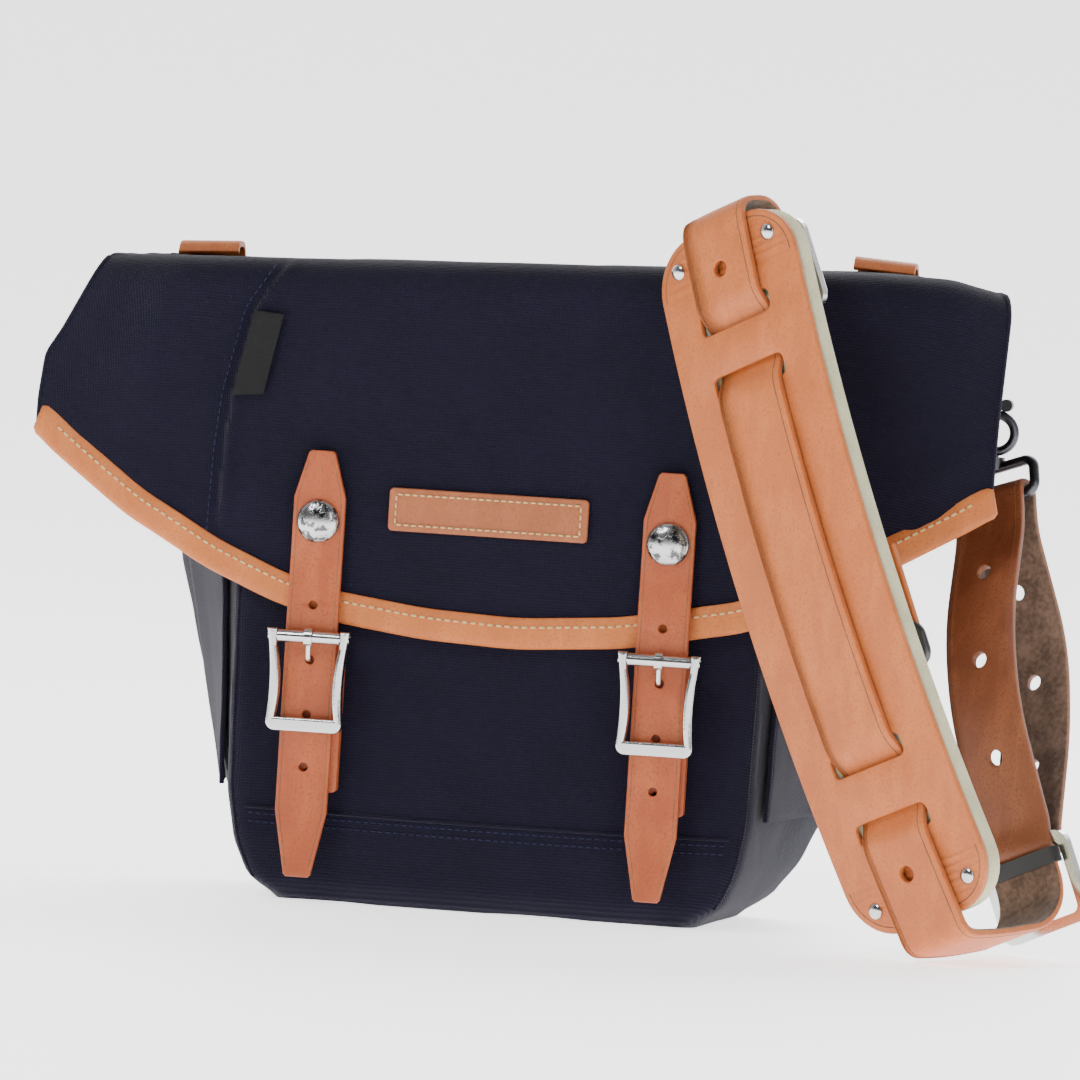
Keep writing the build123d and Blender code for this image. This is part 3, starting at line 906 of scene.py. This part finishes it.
def on_tag(u, v, w):
    curl = 0.7 * ((u - tuck_line(v)) / 12 - 0.2) ** 2
    return (u, -FLAP_FRONT - 2.6 - w - curl, v)


tag = strip("woven_tag_cloth", [TAG], 0.8, 0.25, on_tag, TAG_CLOTH, 2)
place(tag, "flap", "tag_weave", "woven_tag")


# Front straps: tapered, creased along both edges, four holes each.
STRAP_AT = {"left": -70, "right": 65}
STRAP_BOTTOM = 10
STRAP_TOP = 173
STRAP_HALF = 10
STRAP_TIP = 5.2
LOW_TAPER = 25
HIGH_TAPER = 18
HOLE_RADIUS = 1.65
SNAP_Z = 146


def strap_outline(x):
    half, tip = STRAP_HALF, STRAP_TIP
    low, high = STRAP_BOTTOM, STRAP_TOP
    return [
        (x - tip + 1, low), (x + tip - 1, low), (x + tip, low + 1), (x + half, low + LOW_TAPER),
        (x + half, high - HIGH_TAPER), (x + tip, high - 1), (x + tip - 1, high), (x - tip + 1, high),
        (x - tip, high - 1), (x - half, high - HIGH_TAPER), (x - half, low + LOW_TAPER), (x - tip, low + 1),
    ]


def crease_reach(v):
    """How far from the strap's middle the line pressed along its edges runs at a height."""
    share = min((v - STRAP_BOTTOM) / LOW_TAPER, (STRAP_TOP - v) / HIGH_TAPER, 1)
    return STRAP_TIP + (STRAP_HALF - STRAP_TIP) * share - 1.5


CAP_PROFILE = [(0.02, 3.5), (2, 3.46), (4, 3.2), (5.6, 2.75), (6.9, 2.05), (7.7, 1.3), (8.15, 0.7),
               (8.25, 0.25), (8.0, -0.1)]

for side, x in STRAP_AT.items():
    def on_front(u, v, w, x=x):
        lean = -1.6 * (max(60 - v, 0) / 50) ** 2 + 0.9 * min(max(v - 112, 0) / 20, 1)
        crown = 0.25 * ((u - x) / STRAP_HALF) ** 2 if w > 0 else 0
        return (u, -56.6 - w + lean + crown + 0.25 * ripple((u, 0, v), 22, 8), v)

    holes = [disc((x, z), HOLE_RADIUS) for z in (114, 93, 72, 52)]
    made = strip(f"strap_{side}", [strap_outline(x), *holes], 2.8, 0.55, on_front, STRAP, 2.0)
    place(made, "flap", "strap_leather", f"front_strap_{side}")
    creases = []
    for sign in (-1, 1):
        line = []
        for k in range(60):
            v = STRAP_BOTTOM + 4 + (STRAP_TOP - STRAP_BOTTOM - 8) * k / 59
            p = on_front(x + sign * crease_reach(v), v, 1.4)
            line.append((p[0], p[1] + 0.12, p[2]))
        creases.append(tube(f"crease_{sign}", line, 0.22, CREASE))
    place(joined(f"strap_crease_{side}", creases), "flap", "strap_leather")

    cap = lathe(f"snap_{side}", CAP_PROFILE, (x, -57.4, SNAP_Z), (0, -1, 0), HAMMERED)
    place(cap, "flap", "nickel", f"snap_cap_{side}")

    def on_chape(u, v, w, x=x, lean=1.6 if side == "left" else 0.6):
        return (u + lean, -52.1 - w, v)

    flat = [rounded(22, 61, 2, (x, 73.2)), disc((x, 50), HOLE_RADIUS)]
    made = strip(f"chape_{side}_leather", flat, 5.2, 0.6, on_chape, STRAP, 3.0)
    place(made, "bag", "strap_leather", f"chape_{side}")


# Shoulder pad and strap. Places on them are (across, along, out) in the pad's own frame.
PAD = Vector((130.9, -100, 141.8))
OUT = Vector((-0.498, -0.870, -0.077)).normalized()
ACROSS = Vector((0.786, -0.484, 0.384))
ACROSS = (ACROSS - OUT * ACROSS.dot(OUT)).normalized()
ALONG = OUT.cross(ACROSS)
PAD_WIDTH = 67
PAD_LENGTH = 274
SLOTS = (102, 77, -72, -99)
BAND = 3.0
HALF_BAND = 15


def on_pad(u, v, f):
    """Place on the bowed pad. What lies close to its face or back bows with it."""
    near = 1 / (1 + math.exp((-14.5 - f) / 1.2))
    bow = 12.5 * (1 - min(abs(v) / 139, 1) ** 2) * near
    return PAD + ACROSS * u + ALONG * v + OUT * (f + bow)


def pad_lift(u, v):
    """How far the pad's leather rises over the strap behind its bridges, and curls at its edges."""
    lift = 0
    for middle in (89.5, -85.5):
        along = max(1 - abs(v - middle) / 13, 0)
        sideways = 1 / (1 + (abs(u) / 17.5) ** 8)
        lift += 2.3 * math.sin(along * math.pi / 2) * sideways
    return lift - 0.9 * (u / 33) ** 2


def bend_path(points, reaches, spacing=1.5):
    """Smooth plane path: straight runs joined at each corner by a curve that starts reach before it."""
    dense = [Vector(points[0])]
    for k in range(1, len(points) - 1):
        a, b, c = Vector(points[k - 1]), Vector(points[k]), Vector(points[k + 1])
        reach = min(reaches[k - 1], (b - a).length * 0.49, (c - b).length * 0.49)
        start, end = b + (a - b).normalized() * reach, b + (c - b).normalized() * reach
        for step in range(9):
            t = step / 8
            dense.append(start * (1 - t) ** 2 + b * 2 * t * (1 - t) + end * t * t)
    dense.append(Vector(points[-1]))
    lengths = np.cumsum([0] + [(q - p).length for p, q in zip(dense, dense[1:])])
    count = int(lengths[-1] / spacing)
    marks = np.linspace(0, lengths[-1], count + 1)
    xs = np.interp(marks, lengths, [p.x for p in dense])
    ys = np.interp(marks, lengths, [p.y for p in dense])
    return marks, xs, ys


def along_path(path, s):
    """Place on a path at a length along it, and the direction square to it there."""
    marks, xs, ys = path
    here = Vector((np.interp(s, marks, xs), np.interp(s, marks, ys)))
    before = Vector((np.interp(s - 1.2, marks, xs), np.interp(s - 1.2, marks, ys)))
    after = Vector((np.interp(s + 1.2, marks, xs), np.interp(s + 1.2, marks, ys)))
    go = (after - before).normalized()
    return here, Vector((go.y, -go.x))


def mark_at(path, height, first, last):
    """Length along a path where it passes a height, between two shares of the way."""
    marks, _, ys = path
    start, stop = int(len(marks) * first), int(len(marks) * last)
    return float(marks[start + int(np.argmin(np.abs(ys[start:stop] - height)))])


def band_strip(name, path, holes, to_world, material):
    """Shoulder strap along a path: creased, with 6 mm holes, grain side out and flesh side in."""
    length = float(path[0][-1])
    half = HALF_BAND

    def laid(u, v, w):
        here, square = along_path(path, min(max(v, 0), length))
        crown = 0.3 * (u / half) ** 2 if w > 0 else 0
        p = here + square * (w - crown)
        return to_world(u, p.x, p.y)

    # Both corners at the far end are given twice: how the long edges are rounded depends on it.
    outline = [(-half, 0), (half, 0), (half, length), (half, length), (-half, length), (-half, length)]
    made = strip(name, [outline, *[disc((0, s), 3.0) for s in holes]], BAND, 0.6, laid, material, 1.6, FLESH)
    lines = []
    for sign in (-1, 1):
        places = np.linspace(2, length - 2, int(length / 2))
        line = [Vector(laid(sign * (half - 2.6), s, 1.42)) for s in places]
        lines.append(tube(f"line_{sign}", line, 0.24, CREASE))
    return made, joined(f"{name}_crease", lines)


def pad_place(u, f, v):
    """Place of a strap's point, given as across, out and along the pad."""
    return on_pad(u, v, f)


main_points = [(-64, -118.5), (-64, -137), (-49, -147.7), (-18, -147.7), (3.3, -145.7), (3.1, -103),
               (-3.1, -95), (-3.1, -76), (3.1, -68), (3.4, 0), (3.1, 73), (-3.1, 81), (-3.1, 98), (3.1, 106),
               (3.1, 142), (-20, 142), (-20, 108)]
main_reach = [12, 10, 16, 7, 4, 4, 4, 4, 30, 4, 4, 4, 4, 8, 11]
main_path = bend_path(main_points, main_reach)
main_holes = [mark_at(main_path, -118, 0.2, 0.5), mark_at(main_path, 119, 0.6, 0.86)]
main, crease = band_strip("main_strap_leather", main_path, main_holes, pad_place, SHOULDER)
place(main, "shoulder_strap", "shoulder_leather", "main_strap", "strap_foot")
place(crease, "shoulder_strap", "shoulder_leather")

tail_points = [(-20, 104), (-20, 60), (-16, 10), (-16, -33), (-25, -33), (-25, 4)]
tail_path = bend_path(tail_points, [20, 20, 4.3, 4.3])
tail, crease = band_strip("tail_strap_leather", tail_path, [20, 60], pad_place, SHOULDER)
place(tail, "shoulder_strap", "shoulder_leather", "tail_strap")
place(crease, "shoulder_strap", "shoulder_leather")

FOOT = PAD + OUT * -64 + ALONG * -110
STRAND_OUT = Vector((-0.484, -0.830, 0.275)).normalized()
STRAND_ACROSS = Vector((0.862, -0.399, 0.312))
STRAND_ACROSS = (STRAND_ACROSS - STRAND_OUT * STRAND_ACROSS.dot(STRAND_OUT)).normalized()
STRAND_UP = STRAND_OUT.cross(STRAND_ACROSS)


def on_strand(u, f, v):
    return FOOT + STRAND_ACROSS * u + STRAND_UP * v + STRAND_OUT * f


end_points = [(-5, -7.4), (-1.2, -7.4), (-1, 3), (16, 45), (17, 80), (4.6, 122), (4.6, 140), (-4.6, 140),
              (-4.6, 122), (-22, 80), (-20, 45), (-9, 3), (-8.8, -7.4), (-5.3, -7.4)]
end_path = bend_path(end_points, [1.9, 3.6, 16, 16, 8, 4.4, 4.4, 8, 16, 16, 3.6, 1.7])
total = float(end_path[0][-1])
end_holes = [41, 79, 117, total - 43, total - 79, total - 115]
# The end strap takes the darker leather, whose colour holds painted shade.
end, crease = band_strip("end_strap_leather", end_path, end_holes, on_strand, SHADED_END_STRAP)
place(end, "shoulder_strap", "shoulder_leather", "end_strap")
place(crease, "shoulder_strap", "shoulder_leather")

slots = [rounded(34, 8.5, 2.5, (0, v)) for v in SLOTS]
face = strip(
    "pad_face", [rounded(PAD_WIDTH, PAD_LENGTH, 20, steps=10), *slots], 2.5, 0.7,
    lambda u, v, w: on_pad(u, v, w + pad_lift(u, v)), SHOULDER, 1.5, FLESH)
place(face, "shoulder_strap", "shoulder_leather", "pad_leather")
back = strip(
    "pad_back", [rounded(PAD_WIDTH - 0.8, PAD_LENGTH - 1, 19.5, steps=10)], 8, 1.6,
    lambda u, v, w: on_pad(u, v, w - 5.3 - 0.9 * (u / 33) ** 2), FELT, 3.0)
place(back, "shoulder_strap", "foam", "pad_foam")

RIVET_PROFILE = [(0.02, 1.25), (1.2, 1.2), (2.3, 0.85), (2.9, 0.45), (3.1, 0.1), (3.0, -0.2)]
rivets = []
for u in (-22.5, 22.5):
    for v in (-126, 126):
        centre = on_pad(u, v, 1.25 + pad_lift(u, v))
        rivets.append(lathe(f"rivet_{u}_{v}", RIVET_PROFILE, centre, OUT, NICKEL, 24))
place(joined("rivet_heads", rivets), "shoulder_strap", "nickel", "pad_rivets")

# Edge line pressed round the pad's face.
edge = rounded(PAD_WIDTH - 5, PAD_LENGTH - 5, 17.5, steps=12)
line = [on_pad(u, v, 1.13 + pad_lift(u, v)) for u, v in edge]
place(tube("pad_face_crease", line, 0.24, CREASE, cyclic=True), "shoulder_strap", "shoulder_leather")

# Rear loops on the flap and the side tabs.
for side, x, tilt in (("left", -137, 0.05), ("right", 130, -0.06)):
    height = top_height(x)
    corners = [(48, height - 1), (46, height + 4), (36, height + 4.4), (33, height + 0.6)]
    loop_path = bend_path(corners, [3, 3.5])
    length = float(loop_path[0][-1])

    def on_loop(u, v, w, x=x, path=loop_path, length=length, tilt=tilt):
        here, square = along_path(path, min(max(v, 0), length))
        p = here + square * w
        return (x + u, p.x, p.y + u * tilt)

    flat = [(-12, 0), (12, 0), (12, length), (-12, length)]
    made = strip(f"flap_loop_{side}_leather", [flat], 2.4, 0.5, on_loop, SHOULDER, 1.0)
    place(made, "flap", "shoulder_leather", f"flap_loop_{side}")


# Side tabs: leather folded round each side ring and sewn to the gusset.
TAB_Y = -1.06
for side, reach, sign in (("left", 151, -1), ("right", 155.4, 1)):
    tab_path = bend_path([(118, 195.4), (reach + 3.2, 194.8), (reach + 3.2, 201.2), (118, 200.6)], [3.1, 3.1])

    def on_tab(u, v, w, path=tab_path, sign=sign):
        here, square = along_path(path, min(max(v, 0), float(path[0][-1])))
        p = here + square * w
        return (sign * p.x, TAB_Y + u, p.y)

    length = float(tab_path[0][-1])
    flat = [(-7, 0), (7, 0), (7, length), (-7, length)]
    made = strip(f"side_tab_{side}_leather", [flat], 2.4, 0.5, on_tab, SHOULDER, 1.2, FLESH)
    place(made, "bag", "shoulder_leather", f"side_tab_{side}")
    row = [(sign * (reach - 7), TAB_Y + t, 202.0) for t in np.linspace(-5.5, 5.5, 12)]
    place(stitches(f"stitch_tab_{side}", row, (0, 0, 1), 2.6, 0.8, CREAM_THREAD), "bag", "shoulder_leather")

# Frame pieces that keep their own shape take a finished material.
KEPT = {
    NICKEL: ["buckle_frame_left", "buckle_frame_right", "buckle_pin_left", "buckle_pin_right", "prong_left",
             "prong_right", "snap_stud_left", "snap_stud_right", "lower_buckle", "upper_buckle"],
    GUNMETAL: ["side_ring_left", "side_ring_right", "side_hook", "tail_hook", "strap_ring", "tail_ring"],
    BLACK: ["lower_keeper", "upper_keeper", "side_hook_catch", "tail_hook_catch", "base_board"],
}
for material, names in KEPT.items():
    for name in names:
        for material_slot in nodes[name].material_slots:
            material_slot.material = material

# Floor that curves up behind the bag, like a studio sweep
BEND_START, BEND = 2800, 3600
profile = [(-9600, 0), (-3000, 0), (0, 0), (BEND_START, 0)]
for step in range(1, 13):
    turn = step * math.pi / 24
    profile.append((BEND_START + BEND * math.sin(turn), BEND - BEND * math.cos(turn)))
profile.append((BEND_START + BEND, 10400))
verts, faces = surface([[(x, y, z - 0.3) for y, z in profile] for x in (-9600, 0, 9600)])
ground = finish_mesh("floor", verts, faces, FLOOR)
